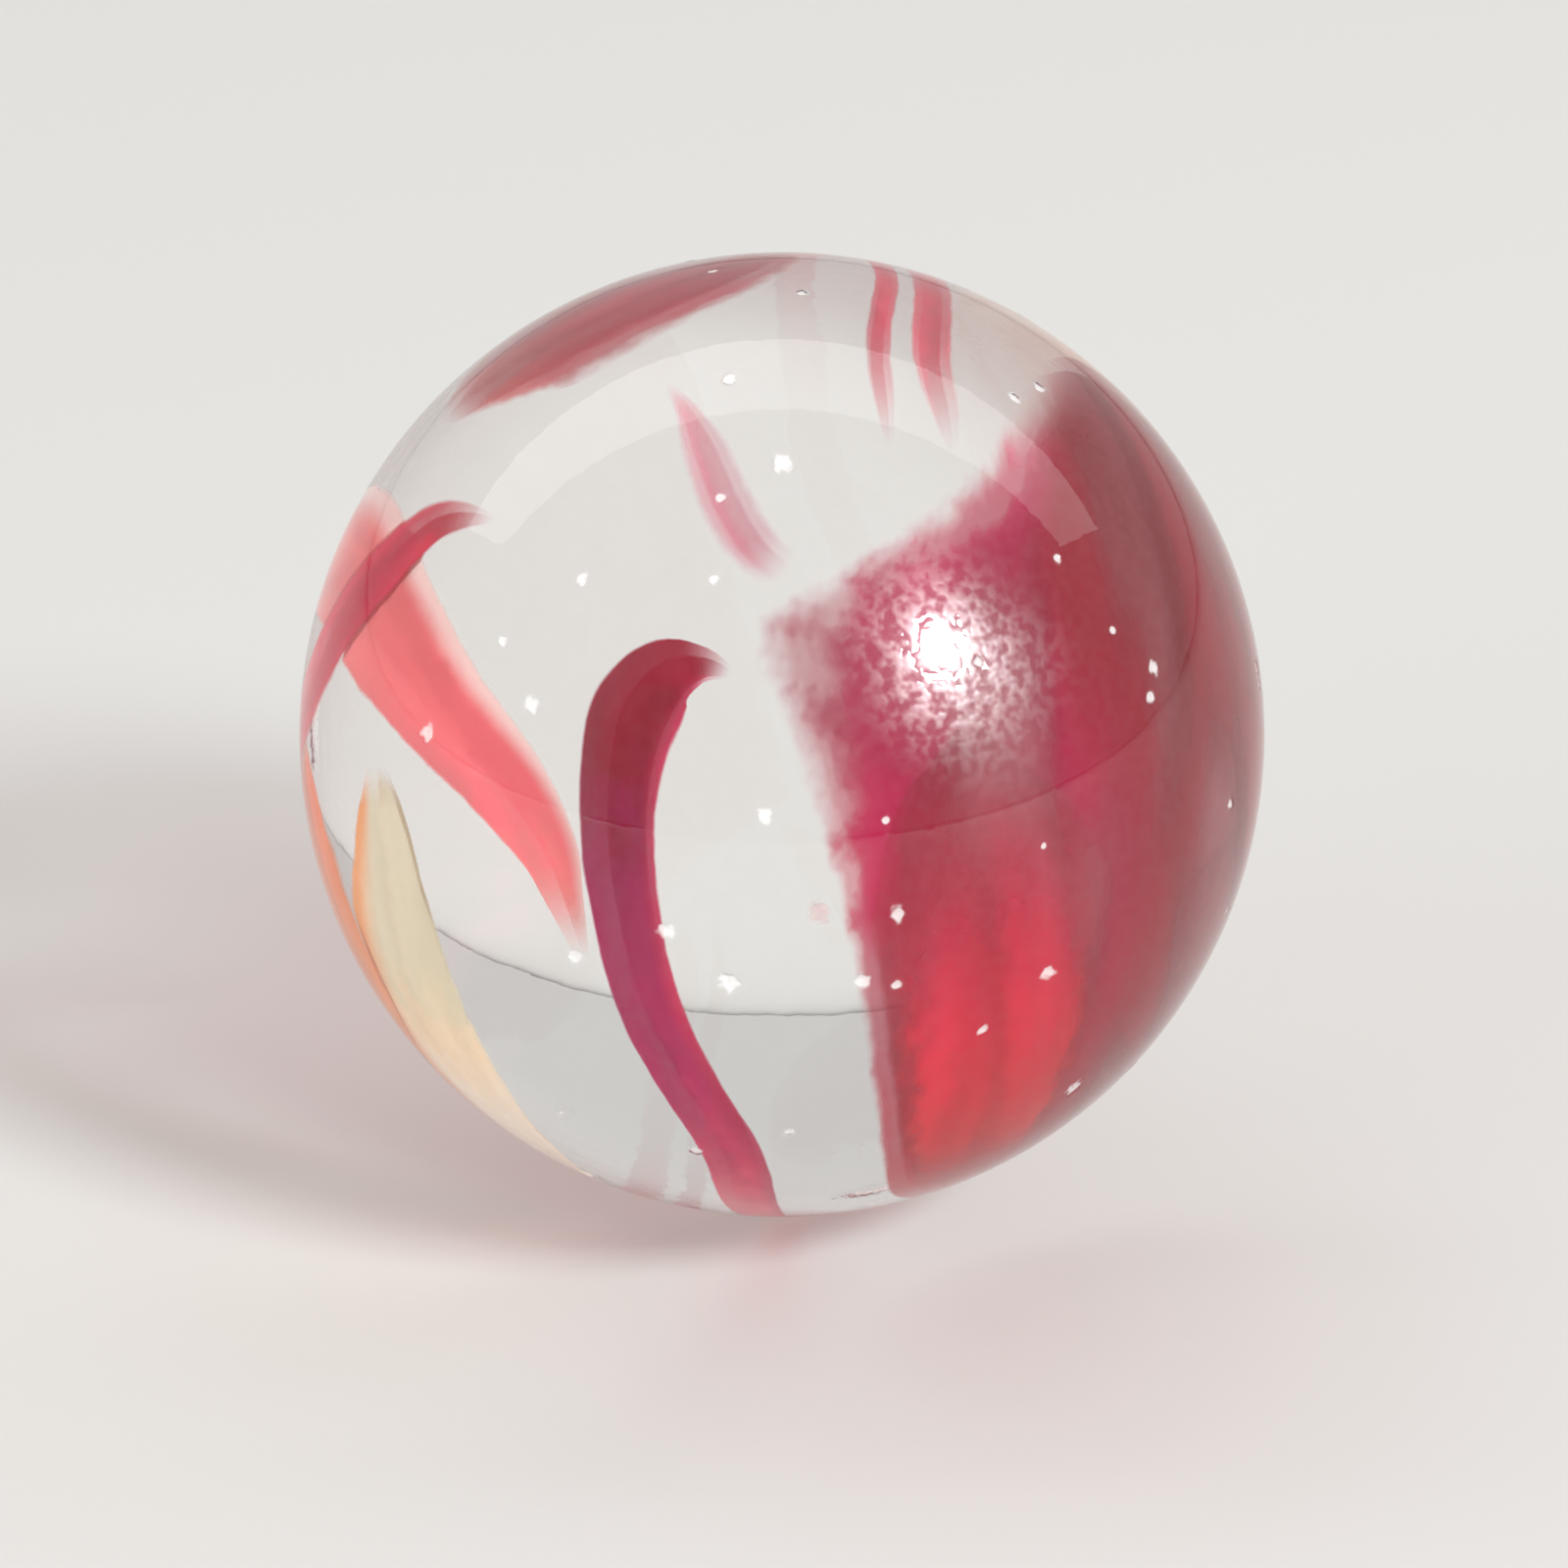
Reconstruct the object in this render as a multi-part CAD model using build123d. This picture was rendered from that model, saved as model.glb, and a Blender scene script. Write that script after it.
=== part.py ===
"""A clear glass play marble with ribbons of coloured glass fused into it.

The marble is one ball that never comes apart. Its clear glass and each ribbon of coloured glass
are separate solids that meet face to face. Every ribbon comes up to the ball's surface, and where
two of them cross, one lies over the other.

The origin is the ball's centre and +Z is up. Latitude runs from the bottom, -90, to the top, 90.
Longitude is 0 at the front, which faces -Y, and grows towards the right, +X. Both are in degrees,
and a table of angles lists the latitude and longitude of places along a ribbon's course.
"""
import os
from math import asin, cos, degrees, radians, sin, sqrt

from build123d import *

# Driving sizes, in millimetres
BALL_DIAMETER = 16.0
CUT_OVERRUN = 0.4  # how far a ribbon's raw form stands out of the ball before it is trimmed flush
BED_SHARE = 0.55  # how wide a ribbon is at its underside, as a share of its width at the surface
RIBBON_SECTIONS = 11  # sections that each narrow ribbon is lofted through

# Crimson ribbon: hooks over at its upper end and runs down the front to the underside
CRIMSON_WIDTH = 1.55
CRIMSON_THICKNESS = 0.8
CRIMSON_ANGLES = [
    (30.7, -6.5), (31.4, -10.5), (30, -15), (25.5, -18.3), (19.8, -19.3), (11, -19.1), (-1, -17.2),
    (-10.5, -15), (-20, -11.6), (-32.5, -7), (-50, -5.5), (-66, -2), (-76, 8),
]
CRIMSON_WIDTH_SHARES = [0.12, 0.4, 0.8, 1, 0.92, 0.82, 0.76, 0.74, 0.7, 0.68, 0.6, 0.4, 0.1]

# Scarlet band: a dense streak laid into the face of the veil, at the lower front right
SCARLET_WIDTH = 3.9
SCARLET_THICKNESS = 0.36
SCARLET_ANGLES = [
    (23, 23.5), (14, 23), (4, 24.2), (-8, 25.4), (-18, 26.8), (-28, 28.2), (-38, 30), (-46, 32.4), (-53, 35.5),
]
SCARLET_WIDTH_SHARES = [0.12, 0.72, 1, 0.98, 0.92, 0.82, 0.66, 0.45, 0.12]

# Red veil: a broad thin sheet round the right-hand side, as rows of latitude, west edge and east edge
VEIL_THICKNESS = 0.6
VEIL_EDGE_WIDTH = 0.35
VEIL_ANGLES = [
    (-57, 30, 56), (-48, 19, 74), (-34, 13.5, 88), (-20, 10.5, 97), (-6, 8, 103), (6, 5.5, 106),
    (18, 2, 108), (28, -2.5, 109), (36, -5.5, 108), (42, 4, 107), (48, 22, 104), (54, 40, 98),
    (59, 60, 82),
]

# Wisp: a faint thread that slants from the crown into the veil
WISP_WIDTH = 0.95
WISP_THICKNESS = 0.3
WISP_ANGLES = [(66, -34), (62, -23), (57.5, -16.5), (51.5, -10.5), (45.5, -4.5), (41, 3), (38, 8)]
WISP_WIDTH_SHARES = [0.1, 0.5, 0.85, 1, 1, 0.8, 0.4]

# Crown streaks: two threads side by side that climb over the top and down the back
STREAK_THICKNESS = 0.3
STREAK_WIDTH_SHARES = [0.1, 0.5, 0.8, 1, 1, 1, 1, 0.8, 0.15]
LEFT_STREAK_WIDTH = 0.45
LEFT_STREAK_ANGLES = [
    (26, 168), (44, 166), (57, 161), (67.5, 150), (76.5, 114), (76.5, 58), (70.5, 35), (63, 26.5),
    (56, 22.5),
]
RIGHT_STREAK_WIDTH = 0.72
RIGHT_STREAK_ANGLES = [
    (18, 155), (36, 153), (51, 149), (61.5, 143), (70, 117), (72, 80), (68, 53), (61, 41), (53.5, 35),
]

# Crown band: a broad band along the upper left and past the top
CROWN_WIDTH = 4.4
CROWN_THICKNESS = 0.5
CROWN_ANGLES = [
    (46, -83), (52, -86), (58, -89.5), (64, -93), (71, -100), (77, -120), (77, -160), (70, -178),
]
CROWN_WIDTH_SHARES = [0.1, 0.6, 0.9, 1, 0.95, 0.8, 0.5, 0.12]

# Side ribbon: slants down across the left-hand side and on to the back
SIDE_WIDTH = 1.4
SIDE_THICKNESS = 0.42
SIDE_ANGLES = [
    (42.5, -50), (41, -57), (38, -63), (31.5, -67.5), (23, -72.5), (14, -77), (5, -82.5), (-5, -91),
    (-16, -103), (-28, -120),
]
SIDE_WIDTH_SHARES = [0.1, 0.4, 0.7, 0.92, 1, 1, 0.9, 0.75, 0.5, 0.1]

# Amber ribbon: a tint that runs down the left-hand edge from under the side ribbon, over the cream
AMBER_WIDTH = 2.5
AMBER_THICKNESS = 0.5
AMBER_ANGLES = [(6, -81), (0, -77.5), (-7, -73.8), (-15, -70), (-23, -67.5), (-32, -66.5), (-42, -67)]
AMBER_WIDTH_SHARES = [0.1, 0.6, 0.95, 1, 0.9, 0.6, 0.1]

# Coral ribbon: passes under the side ribbon and tapers to a point beside the crimson ribbon
CORAL_WIDTH = 2.6
CORAL_THICKNESS = 0.95
CORAL_ANGLES = [
    (-4, -136), (6, -122), (16, -107), (24, -92), (27.5, -78), (26, -63), (20.5, -46), (14.5, -34),
    (8.5, -27.8), (2, -25), (-5, -22.8),
]
CORAL_WIDTH_SHARES = [0.1, 0.4, 0.7, 0.9, 1, 0.95, 0.74, 0.6, 0.45, 0.26, 0.06]

# Cream ribbon: from the left-hand side down to the underside, in part under the amber
CREAM_WIDTH = 3.3
CREAM_THICKNESS = 0.95
CREAM_ANGLES = [
    (10.5, -56), (5, -54), (-2, -52.8), (-11, -52.5), (-22, -52.5), (-34, -50.5), (-47, -47), (-60, -42),
]
CREAM_WIDTH_SHARES = [0.12, 0.4, 0.62, 0.86, 1, 0.9, 0.6, 0.12]

# The sphere's pole and the middle of its seam, which both lie in clear glass
POLE_ANGLES = (-20, -31)
SEAM_ANGLES = (-70, 149)

BALL_RADIUS = BALL_DIAMETER / 2
CENTRE = Vector(0, 0, 0)


def outward(latitude, longitude):
    """The direction from the ball's centre to a place on its surface."""
    lat, lon = radians(latitude), radians(longitude)
    return Vector(cos(lat) * sin(lon), -cos(lat) * cos(lon), sin(lat))


def between(mark, marks, listed):
    """The value at a mark, on a straight line between the values listed for rising marks."""
    mark = min(max(mark, marks[0]), marks[-1])
    after = next(i for i in range(1, len(marks)) if mark <= marks[i])
    run = (mark - marks[after - 1]) / (marks[after] - marks[after - 1])
    return listed[after - 1] + run * (listed[after] - listed[after - 1])


def inlay_section(place, heading, width, thickness):
    """A ribbon's section: slanted edges that are as far apart as asked at the ball's surface."""
    plane = Plane(origin=CENTRE, x_dir=place.cross(heading), z_dir=heading)
    rim = BALL_RADIUS + CUT_OVERRUN
    bed = BALL_RADIUS - thickness
    at_surface = asin(width / 2 / BALL_RADIUS)
    at_bed = at_surface * BED_SHARE
    at_rim = at_surface + (at_surface - at_bed) * CUT_OVERRUN / thickness

    def at(radius, angle):
        return plane.from_local_coords((radius * sin(angle), radius * cos(angle)))

    corners = [at(rim, -at_rim), at(rim, at_rim), at(bed, at_bed), at(bed, -at_bed)]
    return four_sided(corners, at(rim, 0), at(bed, 0))


def four_sided(corners, outer_middle, inner_middle):
    """A face between an outer and an inner arc, with straight ends."""
    edges = [
        ThreePointArc(corners[0], outer_middle, corners[1]),
        Line(corners[1], corners[2]),
        ThreePointArc(corners[2], inner_middle, corners[3]),
        Line(corners[3], corners[0]),
    ]
    return Face(Wire(edges))


def ribbon(angles, width, width_shares, thickness):
    """A narrow band of glass along a course of latitudes and longitudes, thinner where it narrows."""
    places = [BALL_RADIUS * outward(*where) for where in angles]
    path = Spline(*places)
    marks = [path.param_at_point(place) for place in places]
    sections = []
    for i in range(RIBBON_SECTIONS):
        mark = i / (RIBBON_SECTIONS - 1)
        place = (path @ mark).normalized()
        along = path % mark
        heading = (along - place * along.dot(place)).normalized()
        share = between(mark, marks, width_shares)
        sections.append(inlay_section(place, heading, width * share, thickness * sqrt(share)))
    return loft(sections)


def veil_edges(latitude):
    """The longitudes of the veil's west and east edges at a latitude."""
    latitudes, wests, easts = zip(*VEIL_ANGLES)
    return between(latitude, latitudes, wests), between(latitude, latitudes, easts)


def veil_section(latitude):
    """A level section through the veil: two arcs about the ball's axis, joined by slanted ends."""
    height = BALL_RADIUS * sin(radians(latitude))

    def arc(radius, slant_width):
        reach = sqrt(radius**2 - height**2)
        west, east = veil_edges(degrees(asin(height / radius)))
        slant = degrees(slant_width / radius)
        ends = [radians(west + slant), radians((west + east) / 2), radians(east - slant)]
        return [Vector(reach * sin(lon), -reach * cos(lon), height) for lon in ends]

    rim = arc(BALL_RADIUS + CUT_OVERRUN, 0)
    bed = arc(BALL_RADIUS - VEIL_THICKNESS, VEIL_EDGE_WIDTH)
    return four_sided([rim[0], rim[2], bed[2], bed[0]], rim[1], bed[1])


def raw_ribbons():
    """Every ribbon by name before it is trimmed, in the order in which they lie over each other."""
    return {
        "crimson_ribbon": ribbon(CRIMSON_ANGLES, CRIMSON_WIDTH, CRIMSON_WIDTH_SHARES, CRIMSON_THICKNESS),
        "scarlet_band": ribbon(SCARLET_ANGLES, SCARLET_WIDTH, SCARLET_WIDTH_SHARES, SCARLET_THICKNESS),
        "red_veil": loft([veil_section(row[0]) for row in VEIL_ANGLES]),
        "side_ribbon": ribbon(SIDE_ANGLES, SIDE_WIDTH, SIDE_WIDTH_SHARES, SIDE_THICKNESS),
        "amber_ribbon": ribbon(AMBER_ANGLES, AMBER_WIDTH, AMBER_WIDTH_SHARES, AMBER_THICKNESS),
        "left_streak": ribbon(LEFT_STREAK_ANGLES, LEFT_STREAK_WIDTH, STREAK_WIDTH_SHARES, STREAK_THICKNESS),
        "right_streak": ribbon(RIGHT_STREAK_ANGLES, RIGHT_STREAK_WIDTH, STREAK_WIDTH_SHARES, STREAK_THICKNESS),
        "crown_band": ribbon(CROWN_ANGLES, CROWN_WIDTH, CROWN_WIDTH_SHARES, CROWN_THICKNESS),
        "wisp": ribbon(WISP_ANGLES, WISP_WIDTH, WISP_WIDTH_SHARES, WISP_THICKNESS),
        "coral_ribbon": ribbon(CORAL_ANGLES, CORAL_WIDTH, CORAL_WIDTH_SHARES, CORAL_THICKNESS),
        "cream_ribbon": ribbon(CREAM_ANGLES, CREAM_WIDTH, CREAM_WIDTH_SHARES, CREAM_THICKNESS),
    }


def marble():
    """The clear glass and the ribbons by name, trimmed to the ball and to each other."""
    upright = Plane(origin=CENTRE, x_dir=outward(*SEAM_ANGLES), z_dir=outward(*POLE_ANGLES))
    ball = upright * Sphere(BALL_RADIUS)
    pieces = {"clear_glass": ball}
    lying_over = []
    for name, raw in raw_ribbons().items():
        glass = ball & raw
        for cover in lying_over:
            glass -= cover
        pieces[name] = glass
        pieces["clear_glass"] -= raw
        lying_over.append(raw)
    return pieces


def main():
    os.makedirs("parts", exist_ok=True)
    for name, glass in marble().items():
        export_step(glass, f"parts/{name}.step")


if __name__ == "__main__":
    main()
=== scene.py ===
"""The look of a clear glass marble with ribbons of coloured glass fused into it, on a pale floor.

The frame is the part's own: the origin is the ball's centre and +Z is up. Latitude runs from the
bottom, -90, to the top, 90. Longitude is 0 at the front, which faces -Y, and grows towards +X.
"""

import random
from collections import namedtuple
from math import asin, cos, degrees, radians, sin, sqrt

import bmesh
import bpy
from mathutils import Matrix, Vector, kdtree, noise


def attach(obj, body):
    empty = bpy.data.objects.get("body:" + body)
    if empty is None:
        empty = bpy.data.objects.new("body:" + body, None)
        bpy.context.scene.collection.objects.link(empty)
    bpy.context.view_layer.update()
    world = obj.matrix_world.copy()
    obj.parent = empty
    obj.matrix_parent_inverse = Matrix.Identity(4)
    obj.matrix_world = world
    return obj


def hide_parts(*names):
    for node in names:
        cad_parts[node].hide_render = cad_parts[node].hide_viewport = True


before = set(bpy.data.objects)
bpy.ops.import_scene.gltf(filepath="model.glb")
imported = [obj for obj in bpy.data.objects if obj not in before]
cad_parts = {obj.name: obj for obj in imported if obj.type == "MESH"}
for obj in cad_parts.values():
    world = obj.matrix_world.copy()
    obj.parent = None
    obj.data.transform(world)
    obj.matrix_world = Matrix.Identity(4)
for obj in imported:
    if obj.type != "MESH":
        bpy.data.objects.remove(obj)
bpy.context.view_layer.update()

# Sizes, in metres
MM = 0.001
BALL_RADIUS = 8 * MM
SKIN = 0.05 * MM  # clear glass over the ribbons
CLEARANCE = 0.04 * MM  # between a ribbon and one that lies over it

# Ribbons along a course of latitudes and longitudes, each with the ribbons that it lies under
Ribbon = namedtuple("Ribbon", "slot width thickness angles width_shares under", defaults=[()])
STREAK_SHARES = [0.1, 0.5, 0.8, 1, 1, 1, 1, 0.8, 0.15]
RIBBONS = {
    "crimson_ribbon": Ribbon(
        slot="crimson_glass",
        width=1.55 * MM,
        thickness=0.8 * MM,
        angles=[
            (30.7, -6.5), (31.4, -10.5), (30, -15), (25.5, -18.3), (19.8, -19.3), (11, -19.1), (-1, -17.2),
            (-10.5, -15), (-20, -11.6), (-32.5, -7), (-50, -5.5), (-66, -2), (-76, 8),
        ],
        width_shares=[0.12, 0.4, 0.8, 1, 0.92, 0.82, 0.76, 0.74, 0.7, 0.68, 0.6, 0.4, 0.1],
    ),
    "scarlet_band": Ribbon(
        slot="scarlet_glass",
        width=3.9 * MM,
        thickness=0.36 * MM,
        angles=[
            (23, 23.5), (14, 23), (4, 24.2), (-8, 25.4), (-18, 26.8), (-28, 28.2), (-38, 30), (-46, 32.4),
            (-53, 35.5),
        ],
        width_shares=[0.12, 0.72, 1, 0.98, 0.92, 0.82, 0.66, 0.45, 0.12],
    ),
    "side_ribbon": Ribbon(
        slot="crimson_glass",
        width=1.4 * MM,
        thickness=0.42 * MM,
        angles=[
            (42.5, -50), (41, -57), (38, -63), (31.5, -67.5), (23, -72.5), (14, -77), (5, -82.5), (-5, -91),
            (-16, -103), (-28, -120),
        ],
        width_shares=[0.1, 0.4, 0.7, 0.92, 1, 1, 0.9, 0.75, 0.5, 0.1],
    ),
    "amber_ribbon": Ribbon(
        slot="amber_glass",
        width=2.5 * MM,
        thickness=0.5 * MM,
        angles=[(6, -81), (0, -77.5), (-7, -73.8), (-15, -70), (-23, -67.5), (-32, -66.5), (-42, -67)],
        width_shares=[0.1, 0.6, 0.95, 1, 0.9, 0.6, 0.1],
        under=["side_ribbon"],
    ),
    "left_streak": Ribbon(
        slot="rose_glass",
        width=0.45 * MM,
        thickness=0.3 * MM,
        angles=[
            (26, 168), (44, 166), (57, 161), (67.5, 150), (76.5, 114), (76.5, 58), (70.5, 35), (63, 26.5),
            (56, 22.5),
        ],
        width_shares=STREAK_SHARES,
    ),
    "right_streak": Ribbon(
        slot="rose_glass",
        width=0.72 * MM,
        thickness=0.3 * MM,
        angles=[
            (18, 155), (36, 153), (51, 149), (61.5, 143), (70, 117), (72, 80), (68, 53), (61, 41), (53.5, 35),
        ],
        width_shares=STREAK_SHARES,
    ),
    "crown_band": Ribbon(
        slot="rose_glass",
        width=4.4 * MM,
        thickness=0.5 * MM,
        angles=[(46, -83), (52, -86), (58, -89.5), (64, -93), (71, -100), (77, -120), (77, -160), (70, -178)],
        width_shares=[0.1, 0.6, 0.9, 1, 0.95, 0.8, 0.5, 0.12],
    ),
    "wisp": Ribbon(
        slot="rose_glass",
        width=0.95 * MM,
        thickness=0.3 * MM,
        angles=[(66, -34), (62, -23), (57.5, -16.5), (51.5, -10.5), (45.5, -4.5), (42, 1)],
        width_shares=[0.1, 0.5, 0.85, 1, 1, 0.85],
    ),
    "coral_ribbon": Ribbon(
        slot="coral_glass",
        width=2.6 * MM,
        thickness=0.95 * MM,
        angles=[
            (-4, -136), (6, -122), (16, -107), (24, -92), (27.5, -78), (26, -63), (20.5, -46), (14.5, -34),
            (8.5, -27.8), (2, -25), (-5, -22.8),
        ],
        width_shares=[0.1, 0.4, 0.7, 0.9, 1, 0.95, 0.74, 0.6, 0.45, 0.26, 0.06],
        under=["side_ribbon", "crimson_ribbon"],
    ),
    "cream_ribbon": Ribbon(
        slot="cream_glass",
        width=3.3 * MM,
        thickness=0.95 * MM,
        angles=[
            (10.5, -56), (5, -54), (-2, -52.8), (-11, -52.5), (-22, -52.5), (-34, -50.5), (-47, -47),
            (-60, -42),
        ],
        width_shares=[0.12, 0.4, 0.62, 0.86, 1, 0.9, 0.6, 0.12],
        under=["amber_ribbon"],
    ),
}
BED_SHARE = 0.55  # how wide a ribbon is at its underside, as a share of its width at the surface
LEAST_WIDTH_SHARE = 0.04
SECTIONS_ALONG = 150
FACES_ACROSS = 28
HEADING_SHARE = 0.3 / SECTIONS_ALONG  # how far to each side of a section its heading is taken
END_SINE = 2 / SECTIONS_ALONG  # how far past its end sections a ribbon still counts
NEAR_COSINE = 0.5  # how close a direction has to be to a ribbon to be tested against it
SHARP_ANGLE = 40

# Veil: rows of latitude, west edge and east edge
VEIL_THICKNESS = 0.6 * MM
VEIL_EDGE_WIDTH = 0.35 * MM
VEIL_ANGLES = [
    (-57, 30, 56), (-48, 19, 74), (-34, 13.5, 88), (-20, 10.5, 97), (-6, 8, 103), (6, 5.5, 106),
    (18, 2, 108), (28, -2.5, 109), (36, -5.5, 108), (42, 4, 107), (48, 22, 104), (54, 40, 98),
    (59, 60, 82),
]
VEIL_ROWS_UP = 180
VEIL_FACES_ACROSS = 160
VEIL_GRAIN_ANGLE = 90  # longitude over which the veil's grain changes wholly

# Veil's torn margin: latitude, and how far from the west edge the veil has its full body there
VEIL_MARGIN_ANGLES = [(-57, 1), (-6, 2), (15, 8), (28, 14), (38, 20), (46, 34), (59, 42)]

# Nicks in the surface that the light catches: latitude, longitude and size as a share of the largest
NICK_RADIUS = 0.2 * MM
NICK_DEPTH = 0.055 * MM
NICK_OUTLINE_GRAIN = 0.11 * MM
NICK_FLOOR_GRAIN = 0.05 * MM
NICK_OUTLINE_SHARE = 0.7  # how ragged a nick's outline is
NICK_FLOOR_SHARE = 0.5  # how uneven its floor is
NICK_WALL_POWER = 1.5
NICK_WEAR_SHARE = 1.05  # how far from its middle a nick is frosted
NICK_WEAR_RISE = 1.6
FRONT_NICKS_SHARES = [
    (56, 0, 0.95), (39, -30, 0.6), (51, -11, 0.5), (17, -47, 0.85), (-4, -24, 0.75), (-5, -6, 1),
    (3, 13, 0.75), (-5, 9, 0.75), (-6, 13, 0.5), (-8, 32, 0.75), (2, 65, 0.55), (23, 53, 0.7), (20, 51, 0.6),
    (58, 61, 0.6), (57, 71, 0.6), (86, 33, 0.5), (80, -126, 0.5), (15, -2, 0.7), (1, -13, 0.8),
    (-30, 43, 0.9), (-33, -12, 0.6), (-28, 1, 0.5), (30, -39, 0.6), (41, -10, 0.5), (24, -32, 0.8),
    (68, -16, 0.7), (29, 48, 0.4), (-14, 24, 0.5), (39, 44, 0.5), (30, 26, 0.5), (14, 12, 0.35),
    (8, 31, 0.35),
]
OTHER_NICKS = 70
OTHER_NICKS_SHARES = (0.3, 0.85)
OTHER_NICKS_COSINE = 0.2  # how close to the front the other nicks come
NICK_SEED = 11

# Mesh of the ball, finer round each nick
BALL_SUBDIVISIONS = 7
NICK_CUTS = 3
NICK_MESH_SHARE = 1.6

# Fine scuffs all over the surface, and a frosted patch where they are dense
SCUFF_SIZE = 0.19 * MM
SCUFF_DEPTH = 0.06 * MM
SCUFF_STRENGTH = 0.16
SCUFF_LEVELS = (0.35, 0.65)  # between which the scuffs go from faint to full
SCUFF_LEAST_SHARE = 0.25
PATCH_SIZE = 2.4 * MM
FROST_ANGLES = (33, 22)
FROST_RADIUS = 2.5 * MM
FROST_CORE_RADIUS = 0.5 * MM
FROST_ELSEWHERE_SHARE = 0.1

# Glass
GLASS_COLOUR = (0.985, 0.985, 0.975, 1)
GLASS_IOR = 1.52
NICK_ROUGHNESS = 0.45
NICK_CLEAR_LEVELS = (0.1, 0.9)  # the wear between which a nick turns from clear to white
NICK_CLEAR_SHARE = 0.35  # how much light still goes through it there
FROST_IOR = 2.3
FROST_ROUGHNESS = 0.36
COLOURED_ROUGHNESS = 0.55
OPEN = (1, 1, 1, 1)
DIMMED = (0.76, 0.75, 0.74, 1)  # what the clear glass lets through to its shadow
SHADE_SHARE = 0.25  # how much of a coloured glass's cover its shadow shows

# Clouds and streaks that flow along a ribbon, counted to a millimetre
CLOUD_GRAIN = (1.5, 1.9, 1)
STREAK_BEND = (0.6, 0.4, 0)  # how far the clouds bend the streaks
SEED_STEP = 1.7
COLOUR_REACH = 0.2  # how far the clouds move the colours along the course
EDGE_REACH = 0.5  # how far the streaks move an edge colour across it
STREAK_COLOUR_LEVELS = (0.3, 0.7)  # where the streaks are darkest and lightest
STREAK_COVER_LEVELS = (0.3, 0.65)  # where they are thinnest and densest
STREAK_LIGHT_SHARE = 0.7  # how much they lighten, as a share of how much they darken

# Thin margin of a sheet, torn by the clouds, with a haze left between
TORN_REACH = 3
TORN_START_SHARE = 0.3
HAZE_REACH = 0.84
HAZE_START_SHARE = 0.2
HAZE_FULL_SHARE = 0.42
HAZE_SHARE = 0.5  # how much of the full body the haze has

# Studio
KEY_DIRECTION = Vector((0.59, -0.549, 0.59))
KEY_DISTANCE = 0.6
KEY_RADIUS = 0.0736
KEY_POWER = 2.6
STRIP_PLACE = Vector((0, 0.28, 0.53))
STRIP_WIDTH = 1.8
STRIP_HEIGHT = 0.26
STRIP_POWER = 1.8
FILL_PLACE = Vector((-0.48, -0.33, 0.06))
FILL_WIDTH = 0.5
FILL_POWER = 3
WORLD_COLOUR = (1, 0.99, 0.97, 1)
WORLD_LEVEL = 0.36
WORLD_LEVEL_IN_GLASS = 0.6
FLOOR_SIZE = 4
FLOOR_COLOUR = (0.74, 0.73, 0.71, 1)
FLOOR_ROUGHNESS = 0.7
FLOOR_SPECULAR = 0.2

# Camera
VIEW_ELEVATION = 24
VIEW_DISTANCE = 0.11
NEAREST_SEEN = 1 * MM
LENS = 152
PHOTO_SIZE = 1600
BALL_OFFSET = (-2, 50.5)  # where the ball's centre lies from the frame's centre, in the photo's pixels


def outward(latitude, longitude):
    """The direction from the ball's centre to a place on its surface."""
    lat, lon = radians(latitude), radians(longitude)
    return Vector((cos(lat) * sin(lon), -cos(lat) * cos(lon), sin(lat)))


def smooth(mark, marks, listed):
    """The value at a mark, on a smooth curve through the values listed for rising marks."""
    last = len(marks) - 1
    mark = min(max(mark, marks[0]), marks[last])
    i = next(k for k in range(last) if mark <= marks[k + 1])
    step = marks[i + 1] - marks[i]

    def rise(k):
        low, high = max(k - 1, 0), min(k + 1, last)
        return (listed[high] - listed[low]) * (step / (marks[high] - marks[low]))

    t = (mark - marks[i]) / step
    ends = listed[i] * (1 - 3 * t**2 + 2 * t**3) + listed[i + 1] * (3 * t**2 - 2 * t**3)
    return ends + rise(i) * (t - 2 * t**2 + t**3) + rise(i + 1) * (t**3 - t**2)


# Forms of the ribbons

Section = namedtuple("Section", "mark place heading side half_angle depth distance")


def ribbon_sections(ribbon):
    """Places along a ribbon with the directions, half width and depth that it has there."""
    places = [outward(*where) for where in ribbon.angles]
    distances = [0]
    for before, after in zip(places, places[1:]):
        distances.append(distances[-1] + (after - before).length)
    marks = [distance / distances[-1] for distance in distances]
    sections = []
    for i in range(SECTIONS_ALONG + 1):
        mark = i / SECTIONS_ALONG
        place = smooth(mark, marks, places).normalized()
        step = smooth(mark + HEADING_SHARE, marks, places) - smooth(mark - HEADING_SHARE, marks, places)
        heading = (step - place * step.dot(place)).normalized()
        share = max(smooth(mark, marks, ribbon.width_shares), LEAST_WIDTH_SHARE)
        half_angle = asin(ribbon.width * share / 2 / BALL_RADIUS)
        depth = ribbon.thickness * sqrt(share)
        distance = mark * distances[-1] * BALL_RADIUS
        sections.append(Section(mark, place, heading, place.cross(heading), half_angle, depth, distance))
    return sections


def bed_depth(way, sections):
    """How deep a ribbon's underside lies in a direction from the centre, zero outside the ribbon."""
    nearest = max(sections, key=lambda section: section.place.dot(way))
    beyond_end = abs(nearest.heading.dot(way)) > END_SINE
    aside = abs(asin(max(-1, min(1, nearest.side.dot(way))))) / nearest.half_angle
    if beyond_end or aside >= 1 or nearest.place.dot(way) < NEAR_COSINE:
        return 0
    return nearest.depth * min(1, (1 - aside) / (1 - BED_SHARE))


def face_point(way, covers):
    """A point of a ribbon's face: just under the ball's surface, or under what lies over it."""
    depth = max([SKIN] + [bed_depth(way, cover) + CLEARANCE for cover in covers])
    return way * (BALL_RADIUS - depth)


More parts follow.
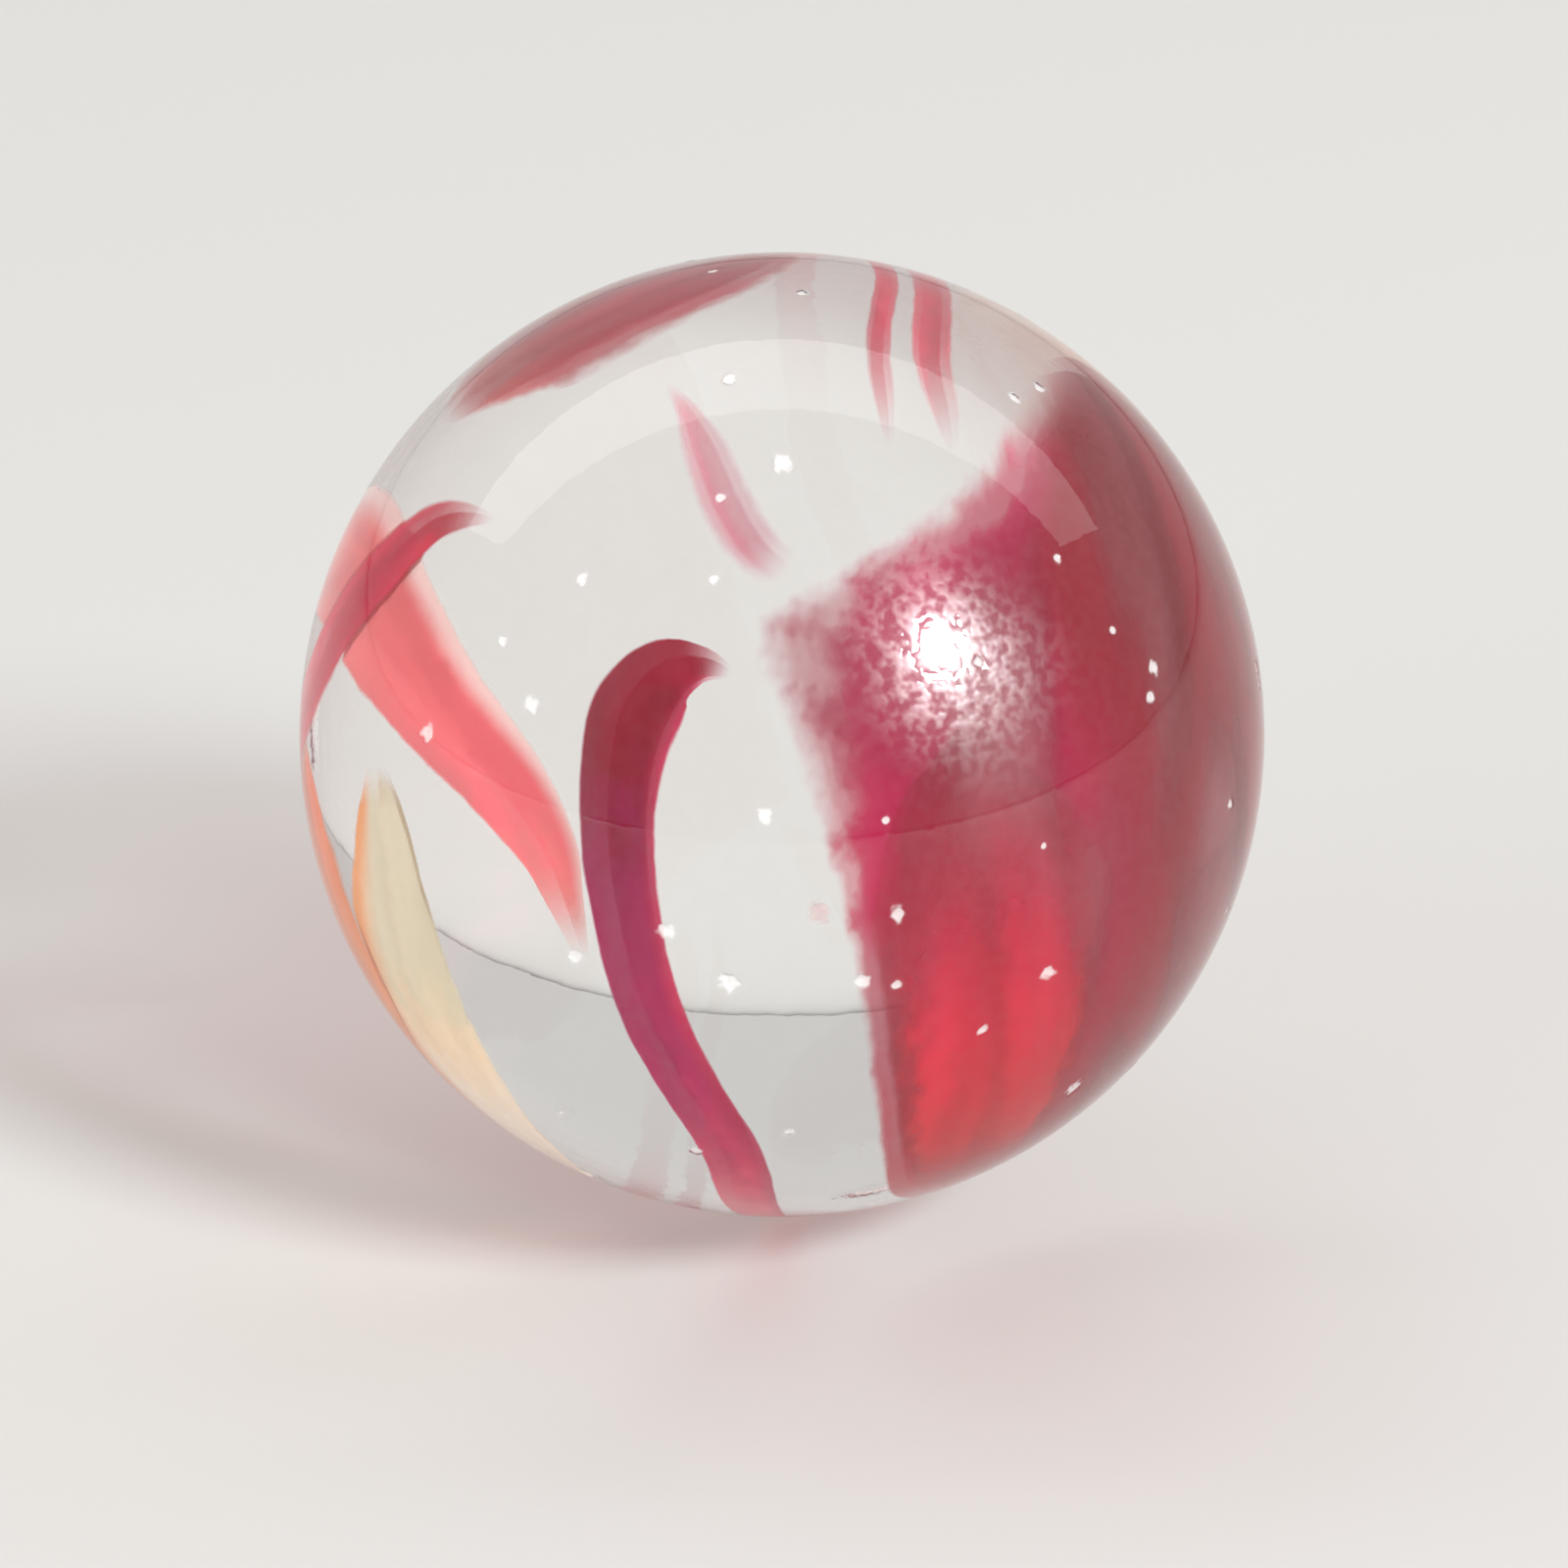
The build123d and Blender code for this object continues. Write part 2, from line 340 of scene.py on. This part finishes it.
def closed_skin(name, rings, alongs, acrosses, flows, bodies):
    """A closed mesh through rings of points, with its course kept as attributes for its material."""
    size = len(rings[0])
    faces = []
    for i in range(len(rings) - 1):
        for j in range(size):
            k = (j + 1) % size
            faces.append((i * size + j, i * size + k, (i + 1) * size + k, (i + 1) * size + j))
    faces.append(tuple(range(size))[::-1])
    faces.append(tuple((len(rings) - 1) * size + j for j in range(size)))
    mesh = bpy.data.meshes.new(name)
    mesh.from_pydata([point for ring in rings for point in ring], [], faces)
    for title, kind, field, values in (
        ("along", "FLOAT", "value", alongs),
        ("across", "FLOAT", "value", acrosses),
        ("body", "FLOAT", "value", bodies),
        ("flow", "FLOAT_VECTOR", "vector", [part for flow in flows for part in flow]),
    ):
        mesh.attributes.new(title, kind, "POINT").data.foreach_set(field, values)
    mesh.shade_smooth()
    mesh.set_sharp_from_angle(angle=radians(SHARP_ANGLE))
    piece = bpy.data.objects.new(name, mesh)
    bpy.context.collection.objects.link(piece)
    fix = bmesh.new()
    fix.from_mesh(mesh)
    bmesh.ops.recalc_face_normals(fix, faces=fix.faces)
    fix.to_mesh(mesh)
    fix.free()
    return piece


def across_steps(count):
    """Even steps from one edge, -1, to the other, 1."""
    return [2 * i / count - 1 for i in range(count + 1)]


def beside(section, angle):
    """The direction from the centre to a place at an angle beside a section's middle."""
    return section.place * cos(angle) + section.side * sin(angle)


def ribbon_piece(name, ribbon, all_sections):
    """A ribbon's closed form: its face just under the ball's surface, slanted edges and its bed."""
    rings, alongs, acrosses, flows = [], [], [], []
    covers = [all_sections[cover] for cover in ribbon.under]
    steps = across_steps(FACES_ACROSS)
    steps_round = steps + steps[::-1]
    for section in all_sections[name]:
        bed = BALL_RADIUS - max(section.depth, 2 * SKIN)
        ring = []
        for step in steps:
            ring.append(face_point(beside(section, step * section.half_angle), covers))
        for step in reversed(steps):
            ring.append(beside(section, step * section.half_angle * BED_SHARE) * bed)
        rings.append(ring)
        alongs += [section.mark] * len(ring)
        acrosses += steps_round
        reach = section.half_angle * BALL_RADIUS / MM
        flows += [(section.distance / MM, step * reach, 0) for step in steps_round]
    return closed_skin(name, rings, alongs, acrosses, flows, [1.0] * len(alongs))


def veil_piece(cover):
    """The veil's closed form, with a hollow in its face for the band that lies in it."""
    latitudes, wests, easts = zip(*VEIL_ANGLES)
    margin_latitudes, margin_widths = zip(*VEIL_MARGIN_ANGLES)
    low, high = latitudes[0], latitudes[-1]
    slant = degrees(VEIL_EDGE_WIDTH / BALL_RADIUS)
    per_degree = radians(BALL_RADIUS / MM)
    rings, alongs, acrosses, flows, bodies = [], [], [], [], []
    steps = across_steps(VEIL_FACES_ACROSS)
    steps_round = steps + steps[::-1]
    for i in range(VEIL_ROWS_UP + 1):
        latitude = low + (high - low) * i / VEIL_ROWS_UP
        west, east = smooth(latitude, latitudes, wests), smooth(latitude, latitudes, easts)
        middle, half = (west + east) / 2, (east - west) / 2
        narrowing = cos(radians(latitude))
        ring = []
        for step in steps:
            ring.append(face_point(outward(latitude, middle + step * half), [cover]))
        for step in reversed(steps):
            way = outward(latitude, middle + step * (half - slant / narrowing))
            ring.append(way * (BALL_RADIUS - VEIL_THICKNESS))
        rings.append(ring)
        alongs += [(latitude - low) / (high - low)] * len(ring)
        acrosses += steps_round
        margin = smooth(latitude, margin_latitudes, margin_widths)
        for step in steps_round:
            longitude = middle + step * half
            sideways = longitude * per_degree * narrowing
            flows.append((latitude * per_degree, sideways, longitude / VEIL_GRAIN_ANGLE))
            bodies.append(min(1, (longitude - west) / margin))
    return closed_skin("red_veil", rings, alongs, acrosses, flows, bodies)


# Form of the ball

Nick = namedtuple("Nick", "place radius depth")


def nick(way, share):
    """A nick in a direction from the centre, at a share of the largest size."""
    return Nick(way * BALL_RADIUS, NICK_RADIUS * share, NICK_DEPTH * share)


def nicks():
    """The nicks of the front, and others scattered over the rest of the ball."""
    rng = random.Random(NICK_SEED)
    found = [nick(outward(latitude, longitude), share) for latitude, longitude, share in FRONT_NICKS_SHARES]
    front = outward(VIEW_ELEVATION, 0)
    while len(found) < len(FRONT_NICKS_SHARES) + OTHER_NICKS:
        way = Vector((rng.gauss(0, 1), rng.gauss(0, 1), rng.gauss(0, 1))).normalized()
        share = rng.uniform(*OTHER_NICKS_SHARES)
        if way.dot(front) < OTHER_NICKS_COSINE:
            found.append(nick(way, share))
    return found


def ball_piece():
    """The ball with small broken pits in its surface."""
    pits = nicks()
    tree = kdtree.KDTree(len(pits))
    for i, pit in enumerate(pits):
        tree.insert(pit.place, i)
    tree.balance()
    form = bmesh.new()
    bmesh.ops.create_icosphere(form, subdivisions=BALL_SUBDIVISIONS, radius=BALL_RADIUS)
    near = set()
    for face in form.faces:
        _, i, distance = tree.find(face.calc_center_median())
        if distance < pits[i].radius * NICK_MESH_SHARE:
            near.update(face.edges)
    bmesh.ops.subdivide_edges(form, edges=list(near), cuts=NICK_CUTS, use_grid_fill=True)
    bmesh.ops.triangulate(form, faces=[face for face in form.faces if len(face.verts) > 3])
    form.verts.ensure_lookup_table()
    wears = []
    for vert in form.verts:
        place = vert.co.normalized() * BALL_RADIUS
        _, i, distance = tree.find(place)
        ragged = 1 + NICK_OUTLINE_SHARE * noise.noise(place / NICK_OUTLINE_GRAIN)
        aside = distance / (pits[i].radius * ragged)
        uneven = 1 + NICK_FLOOR_SHARE * noise.noise(place / NICK_FLOOR_GRAIN)
        sunk = max(0, 1 - aside**2) ** NICK_WALL_POWER * uneven
        vert.co = place - place.normalized() * pits[i].depth * sunk
        wears.append(max(0, min(1, NICK_WEAR_RISE * (NICK_WEAR_SHARE - aside))))
    mesh = bpy.data.meshes.new("clear_glass")
    form.to_mesh(mesh)
    form.free()
    mesh.attributes.new("wear", "FLOAT", "POINT").data.foreach_set("value", wears)
    mesh.shade_smooth()
    piece = bpy.data.objects.new("clear_glass", mesh)
    bpy.context.collection.objects.link(piece)
    return piece


# Materials


def ink(red, green, blue):
    """A colour given as it looks on a screen, 0 to 255, as the linear colour that shaders use."""
    parts = []
    for level in (red, green, blue):
        level /= 255
        parts.append(level / 12.92 if level <= 0.04045 else ((level + 0.055) / 1.055) ** 2.4)
    return (*parts, 1)


class Nodes:
    """A material under construction."""

    def __init__(self, name):
        self.material = bpy.data.materials.new(name)
        self.material.use_nodes = True
        self.tree = self.material.node_tree
        self.tree.nodes.clear()

    def add(self, kind, settings=None, **values):
        """A node with its settings, and with its sockets set to values or fed by other sockets.

        A socket goes by its name, or by its number after an underscore.
        """
        node = self.tree.nodes.new("ShaderNode" + kind)
        for title, value in (settings or {}).items():
            setattr(node, title, value)
        for title, value in values.items():
            socket = node.inputs[int(title[1:]) if title[0] == "_" else title.replace("_", " ")]
            if isinstance(value, bpy.types.NodeSocket):
                self.tree.links.new(value, socket)
            else:
                socket.default_value = value
        return node

    def math(self, operation, *operands):
        """The result of a sum on numbers or sockets."""
        named = {f"_{i}": operand for i, operand in enumerate(operands)}
        return self.add("Math", {"operation": operation}, **named).outputs[0]

    def product(self, first, *others):
        """All the factors multiplied."""
        result = first
        for factor in others:
            result = self.math("MULTIPLY", result, factor)
        return result

    def waver(self, value, pattern, reach):
        """A value moved up and down by a pattern that lies round one half."""
        return self.math("MULTIPLY_ADD", self.math("SUBTRACT", pattern, 0.5), reach, value)

    def attribute(self, title, output="Fac"):
        """What the mesh keeps under a title."""
        return self.add("Attribute", {"attribute_name": title}).outputs[output]

    def fade(self, value, low, high, to_low=0.0, to_high=1.0):
        """A smooth change from one level to another while the value goes from low to high."""
        settings = {"interpolation_type": "SMOOTHSTEP"}
        named = {"Value": value, "_1": low, "_2": high, "_3": to_low, "_4": to_high}
        return self.add("MapRange", settings, **named).outputs[0]

    def ramp(self, value, stops):
        """A colour that changes with the value through the listed stops."""
        node = self.add("ValToRGB", Fac=value)
        elements = node.color_ramp.elements
        while len(elements) < len(stops):
            elements.new(0.5)
        for element, (mark, colour) in zip(elements, stops):
            element.position = mark
            element.color = colour
        return node.outputs["Color"]

    def blend(self, share, below, above, kind="MIX"):
        """Two colours mixed, by a share of the second."""
        node = self.add("Mix", {"data_type": "RGBA", "blend_type": kind}, _0=share, _6=below, _7=above)
        return node.outputs[2]

    def grain(self, vector, scale, detail, roughness=0.55):
        """A noise with as many grains to a unit as the scale says."""
        node = self.add("TexNoise", Vector=vector, Scale=scale, Detail=detail, Roughness=roughness)
        return node.outputs["Fac"]

    def stretched(self, vector, stretch, offset):
        """Coordinates scaled and then moved by an offset."""
        return self.add("Mapping", Vector=vector, Scale=stretch, Location=offset).outputs["Vector"]

    def mixed(self, share, shader, other):
        """Two shaders mixed, by a share of the second."""
        return self.add("MixShader", Fac=share, _1=shader, _2=other).outputs[0]

    def see_through(self, colour):
        """A shader that lets light straight through."""
        return self.add("BsdfTransparent", Color=colour).outputs[0]

    def for_rays(self, kind, shader, other):
        """A shader, with another in its place for one kind of ray."""
        return self.mixed(self.add("LightPath").outputs[kind], shader, other)

    def finish(self, shader):
        """The material with the shader on its surface."""
        self.add("OutputMaterial", Surface=shader)
        return self.material


Look = namedtuple("Look", "stops covers feather streak grain fades tint edge", defaults=[None])
Course = namedtuple("Course", "along across body clouds streaks")


def course_of(n, look, seed):
    """A piece's own course, with the clouds and streaks that flow along it."""
    flow = n.attribute("flow", "Vector")
    clouds = n.grain(n.stretched(flow, CLOUD_GRAIN, (0, seed, seed)), scale=1.0, detail=2.0)
    bent = n.add("VectorMath", {"operation": "MULTIPLY_ADD"}, _0=clouds, _1=STREAK_BEND, _2=flow).outputs[0]
    streaks = n.grain(n.stretched(bent, (*look.grain, 1), (seed, seed, 0)), scale=1.0, detail=1.0)
    return Course(n.attribute("along"), n.attribute("across"), n.attribute("body"), clouds, streaks)


def glass_colour(n, look, course):
    """The colour along the course, with its edge colour, lighter and darker in streaks."""
    colour = n.ramp(n.waver(course.along, course.clouds, COLOUR_REACH), look.stops)
    if look.edge:
        edge_colour, begins, full = look.edge
        reached = n.fade(n.waver(course.across, course.streaks, EDGE_REACH), begins, full)
        colour = n.blend(reached, colour, edge_colour)
    darkest, lightest = 1 - look.streak, 1 + look.streak * STREAK_LIGHT_SHARE
    level = n.fade(course.streaks, *STREAK_COLOUR_LEVELS, darkest, lightest)
    grey = n.add("CombineColor", _0=level, _1=level, _2=level).outputs[0]
    return n.blend(1.0, colour, grey, "MULTIPLY")


def glass_body(n, look, course):
    """How much glass there is: all of it inside, less at the ends and edges and in a torn margin."""
    inside = n.math("SUBTRACT", 1.0, n.math("ABSOLUTE", course.across))
    edges = n.fade(n.waver(inside, course.clouds, look.feather), 0.0, look.feather)
    start = n.fade(course.along, 0.0, look.fades[0])
    end = n.fade(course.along, 1.0, 1 - look.fades[1])
    body = course.body
    thinness = n.math("SUBTRACT", 1.0, body)
    torn = n.fade(n.waver(body, course.clouds, n.product(thinness, TORN_REACH)), 0.0, 1.0)
    filled = n.product(torn, n.fade(body, 0.0, TORN_START_SHARE))
    wavy = n.waver(body, course.clouds, n.product(thinness, HAZE_REACH))
    haze = n.product(n.fade(wavy, 0.0, HAZE_FULL_SHARE, 0.0, HAZE_SHARE), n.fade(body, 0.0, HAZE_START_SHARE))
    return n.product(edges, start, end, n.math("MAXIMUM", filled, haze))


def coloured_glass(name, look):
    """Coloured glass that flows along a ribbon, thin and torn at the edges.

    A look's stops are the colours along the course, covers how much the glass hides where it is
    thin and where it is dense, feather how soft its edges are and streak how strongly it is
    streaked. Grain is how many streaks there are to a millimetre along and across. Fades are the
    shares of the course over which its two ends fade in. Tint colours the light that goes through.
    An edge is a second colour across the course, and the places where it begins and is full; on the veil it
    is painted shade.
    """
    n = Nodes(name)
    course = course_of(n, look, len(name) * SEED_STEP)
    body = glass_body(n, look, course)
    cover = n.product(body, n.fade(course.streaks, *STREAK_COVER_LEVELS, *look.covers))
    dense = n.add(
        "BsdfPrincipled",
        Base_Color=glass_colour(n, look, course),
        Roughness=COLOURED_ROUGHNESS,
        Specular_IOR_Level=0.0,
    )
    seen = n.mixed(cover, n.see_through(n.blend(body, OPEN, look.tint)), dense.outputs[0])
    let_through = 1 - SHADE_SHARE * look.covers[1]
    shade = n.see_through([part * let_through for part in look.tint])
    return n.finish(n.for_rays("Is Shadow Ray", seen, shade))


def clear_glass():
    """Clear glass, finely scuffed all over, with a frosted patch, and frosted in its nicks."""
    n = Nodes("clear_glass")
    place = n.add("TexCoord").outputs["Object"]
    wear = n.attribute("wear")
    scuffs = n.grain(place, scale=1 / SCUFF_SIZE, detail=1.0, roughness=0.6)
    patches = n.grain(place, scale=1 / PATCH_SIZE, detail=0.0)
    middle = outward(*FROST_ANGLES) * BALL_RADIUS
    away = n.add("VectorMath", {"operation": "DISTANCE"}, _0=place, _1=middle).outputs["Value"]
    ragged = n.waver(away, patches, FROST_RADIUS)
    frost = n.fade(ragged, FROST_CORE_RADIUS, FROST_RADIUS, 1.0, FROST_ELSEWHERE_SHARE)
    strength = n.product(frost, SCUFF_STRENGTH)
    bump = n.add("Bump", Strength=strength, Distance=SCUFF_DEPTH, Height=scuffs).outputs[0]
    glass = n.add(
        "BsdfPrincipled",
        Base_Color=GLASS_COLOUR,
        IOR=GLASS_IOR,
        Roughness=n.product(wear, NICK_ROUGHNESS),
        Transmission_Weight=n.fade(wear, *NICK_CLEAR_LEVELS, 1.0, NICK_CLEAR_SHARE),
        Normal=bump,
        Coat_Weight=n.product(n.fade(scuffs, *SCUFF_LEVELS, SCUFF_LEAST_SHARE, 1.0), frost),
        Coat_Roughness=FROST_ROUGHNESS,
        Coat_IOR=FROST_IOR,
        Coat_Normal=bump,
    )
    seen = n.for_rays("Is Diffuse Ray", glass.outputs[0], n.see_through(OPEN))
    return n.finish(n.for_rays("Is Shadow Ray", seen, n.see_through(DIMMED)))


LOOKS = {
    # Crimson: the violet-tinged stretch of its colours, from 0.28 to 0.5 along the course, is a painted sheen
    # laid over its own dark crimson.
    "crimson_ribbon": Look(
        stops=[
            (0.0, ink(152, 18, 46)), (0.16, ink(134, 10, 36)), (0.28, ink(152, 20, 76)),
            (0.5, ink(170, 26, 84)), (0.66, ink(202, 42, 88)), (0.8, ink(230, 84, 108)),
            (1.0, ink(232, 98, 116)),
        ],
        covers=(0.92, 0.98),
        feather=0.1,
        streak=0.12,
        grain=(0.3, 1.4),
        fades=(0.05, 0.1),
        tint=(1, 0.55, 0.66, 1),
        edge=(ink(190, 40, 80), 0.4, 1.0),
    ),
    "scarlet_band": Look(
        stops=[
            (0.0, ink(182, 28, 76)), (0.3, ink(202, 28, 68)), (0.5, ink(222, 40, 66)),
            (0.75, ink(222, 48, 58)), (1.0, ink(176, 40, 48)),
        ],
        covers=(0.7, 0.92),
        feather=0.32,
        streak=0.2,
        grain=(0.1, 0.9),
        fades=(0.5, 0.25),
        tint=(1, 0.6, 0.64, 1),
    ),
    "red_veil": Look(
        stops=[
            (0.0, ink(172, 42, 48)), (0.25, ink(178, 34, 60)), (0.5, ink(178, 24, 72)),
            (0.75, ink(164, 20, 70)), (0.9, ink(176, 44, 86)), (1.0, ink(196, 96, 120)),
        ],
        covers=(0.45, 0.92),
        feather=0.04,
        streak=0.35,
        grain=(0.16, 0.5),
        fades=(0.04, 0.08),
        tint=(1, 0.62, 0.67, 1),
        # The darker, browner red over the veil's east side, towards the limb, is painted shade.
        edge=(ink(136, 28, 42), -0.5, 0.0),
    ),
    "side_ribbon": Look(
        stops=[
            (0.0, ink(186, 66, 74)), (0.2, ink(214, 40, 74)), (0.5, ink(228, 44, 76)),
            (1.0, ink(212, 50, 70)),
        ],
        covers=(0.8, 0.94),
        feather=0.25,
        streak=0.15,
        grain=(0.25, 1.4),
        fades=(0.12, 0.1),
        tint=(1, 0.7, 0.74, 1),
    ),
    "amber_ribbon": Look(
        stops=[
            (0.0, ink(244, 112, 88)), (0.35, ink(248, 138, 88)), (0.7, ink(250, 160, 96)),
            (1.0, ink(250, 186, 120)),
        ],
        covers=(0.65, 0.85),
        feather=0.25,
        streak=0.2,
        grain=(0.2, 1.0),
        fades=(0.15, 0.35),
        tint=(1, 0.82, 0.62, 1),
    ),
    "left_streak": Look(
        stops=[(0.0, ink(200, 70, 90)), (0.6, ink(206, 54, 78)), (1.0, ink(220, 124, 138))],
        covers=(0.7, 0.88),
        feather=0.3,
        streak=0.2,
        grain=(0.3, 2.0),
        fades=(0.1, 0.25),
        tint=(1, 0.75, 0.78, 1),
    ),
    "right_streak": Look(
        stops=[(0.0, ink(200, 70, 90)), (0.6, ink(214, 50, 76)), (1.0, ink(220, 124, 138))],
        covers=(0.72, 0.92),
        feather=0.25,
        streak=0.2,
        grain=(0.3, 2.0),
        fades=(0.1, 0.25),
        tint=(1, 0.75, 0.78, 1),
    ),
    "crown_band": Look(
        stops=[
            (0.0, ink(214, 104, 98)), (0.3, ink(176, 58, 68)), (0.6, ink(170, 50, 68)),
            (1.0, ink(172, 56, 78)),
        ],
        covers=(0.48, 0.84),
        feather=0.25,
        streak=0.3,
        grain=(0.2, 0.8),
        fades=(0.15, 0.15),
        tint=(1, 0.74, 0.77, 1),
    ),
    "wisp": Look(
        stops=[(0.0, ink(220, 150, 162)), (0.4, ink(212, 126, 146)), (1.0, ink(192, 70, 108))],
        covers=(0.24, 0.44),
        feather=0.4,
        streak=0.2,
        grain=(0.2, 1.2),
        fades=(0.2, 0.22),
        tint=(1, 0.88, 0.9, 1),
    ),
    "coral_ribbon": Look(
        stops=[
            (0.0, ink(236, 104, 96)), (0.35, ink(248, 112, 110)), (0.62, ink(248, 116, 120)),
            (0.85, ink(252, 112, 122)), (1.0, ink(232, 136, 128)),
        ],
        covers=(0.9, 0.97),
        feather=0.1,
        streak=0.12,
        grain=(0.25, 1.2),
        fades=(0.1, 0.1),
        tint=(1, 0.78, 0.78, 1),
        edge=(ink(244, 200, 196), 0.4, 0.95),
    ),
    # Cream: greyish white at its top to bright peach white at its lower end; the brighter lower end is partly
    # painted light, the glow where light focused through the ball falls on it.
    "cream_ribbon": Look(
        stops=[
            (0.0, ink(226, 212, 188)), (0.35, ink(228, 214, 184)), (0.5, ink(250, 220, 184)),
            (0.7, ink(255, 238, 220)), (1.0, ink(255, 238, 222)),
        ],
        covers=(0.94, 0.98),
        feather=0.12,
        streak=0.08,
        grain=(0.2, 1.2),
        fades=(0.08, 0.1),
        tint=(1, 0.95, 0.88, 1),
        edge=(ink(242, 158, 98), -0.25, -0.8),
    ),
}


# Studio


def floor():
    """A pale matt floor that the ball rests on."""
    bpy.ops.mesh.primitive_plane_add(size=FLOOR_SIZE, location=(0, 0, -BALL_RADIUS))
    plane = bpy.context.object
    plane.name = "floor"
    n = Nodes("floor")
    pale = n.add(
        "BsdfPrincipled",
        Base_Color=FLOOR_COLOUR,
        Roughness=FLOOR_ROUGHNESS,
        Specular_IOR_Level=FLOOR_SPECULAR,
    )
    plane.data.materials.append(n.finish(pale.outputs[0]))


def add_light(name, kind, place, power, **settings):
    """A soft lamp that faces the ball."""
    lamp = bpy.data.lights.new(name, "AREA")
    lamp.shape = kind
    lamp.energy = power
    for title, value in settings.items():
        setattr(lamp, title, value)
    light = bpy.data.objects.new(name, lamp)
    light.location = place
    light.rotation_euler = (-place).to_track_quat("-Z", "Y").to_euler()
    bpy.context.collection.objects.link(light)
    return light


def lights():
    """A key lamp from the front right, a strip light behind and a fill from the left."""
    add_light("key", "DISK", KEY_DIRECTION.normalized() * KEY_DISTANCE, KEY_POWER, size=2 * KEY_RADIUS)
    strip = add_light("strip", "RECTANGLE", STRIP_PLACE, STRIP_POWER, size=STRIP_WIDTH, size_y=STRIP_HEIGHT)
    strip.visible_transmission = False
    fill = add_light("fill", "RECTANGLE", FILL_PLACE, FILL_POWER, size=FILL_WIDTH, size_y=FILL_WIDTH)
    fill.visible_glossy = False
    fill.visible_transmission = False


def surround():
    """Even light from all round, brighter where it is seen in the glass."""
    world = bpy.data.worlds.new("surround")
    world.use_nodes = True
    tree = world.node_tree
    background = tree.nodes["Background"]
    background.inputs["Color"].default_value = WORLD_COLOUR
    level = tree.nodes.new("ShaderNodeMapRange")
    tree.links.new(tree.nodes.new("ShaderNodeLightPath").outputs["Is Diffuse Ray"], level.inputs["Value"])
    level.inputs["To Min"].default_value = WORLD_LEVEL_IN_GLASS
    level.inputs["To Max"].default_value = WORLD_LEVEL
    tree.links.new(level.outputs[0], background.inputs["Strength"])
    bpy.context.scene.world = world


def camera():
    """The photo's viewpoint."""
    data = bpy.data.cameras.new("camera")
    data.lens = LENS
    data.clip_start = NEAREST_SEEN
    data.shift_x = -BALL_OFFSET[0] / PHOTO_SIZE
    data.shift_y = -BALL_OFFSET[1] / PHOTO_SIZE
    viewer = bpy.data.objects.new("camera", data)
    viewer.location = outward(VIEW_ELEVATION, 0) * VIEW_DISTANCE
    viewer.rotation_euler = (-viewer.location).to_track_quat("-Z", "Y").to_euler()
    bpy.context.collection.objects.link(viewer)
    bpy.context.scene.camera = viewer


def render_settings():
    """Plain colours, and enough bounces to see through glass inside glass."""
    scene = bpy.context.scene
    scene.view_settings.view_transform = "Standard"
    scene.cycles.max_bounces = 10
    scene.cycles.diffuse_bounces = 2
    scene.cycles.transmission_bounces = 8
    scene.cycles.transparent_max_bounces = 24
    scene.cycles.caustics_reflective = False
    scene.cycles.caustics_refractive = False


def marble():
    """Every piece with its material, in the place of its solid."""
    materials = {name: coloured_glass(name + "_look", look) for name, look in LOOKS.items()}
    materials["clear_glass"] = clear_glass()
    all_sections = {name: ribbon_sections(ribbon) for name, ribbon in RIBBONS.items()}
    pieces = {name: ribbon_piece(name, ribbon, all_sections) for name, ribbon in RIBBONS.items()}
    pieces["red_veil"] = veil_piece(all_sections["scarlet_band"])
    pieces["clear_glass"] = ball_piece()
    slots = {name: ribbon.slot for name, ribbon in RIBBONS.items()}
    slots["red_veil"] = "red_glass"
    slots["clear_glass"] = "clear_glass"
    for name, piece in pieces.items():
        piece.name = name + "_look"
        piece.data.materials.append(materials[name])
        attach(piece, "root")
        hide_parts(name)


marble()
floor()
lights()
surround()
camera()
render_settings()
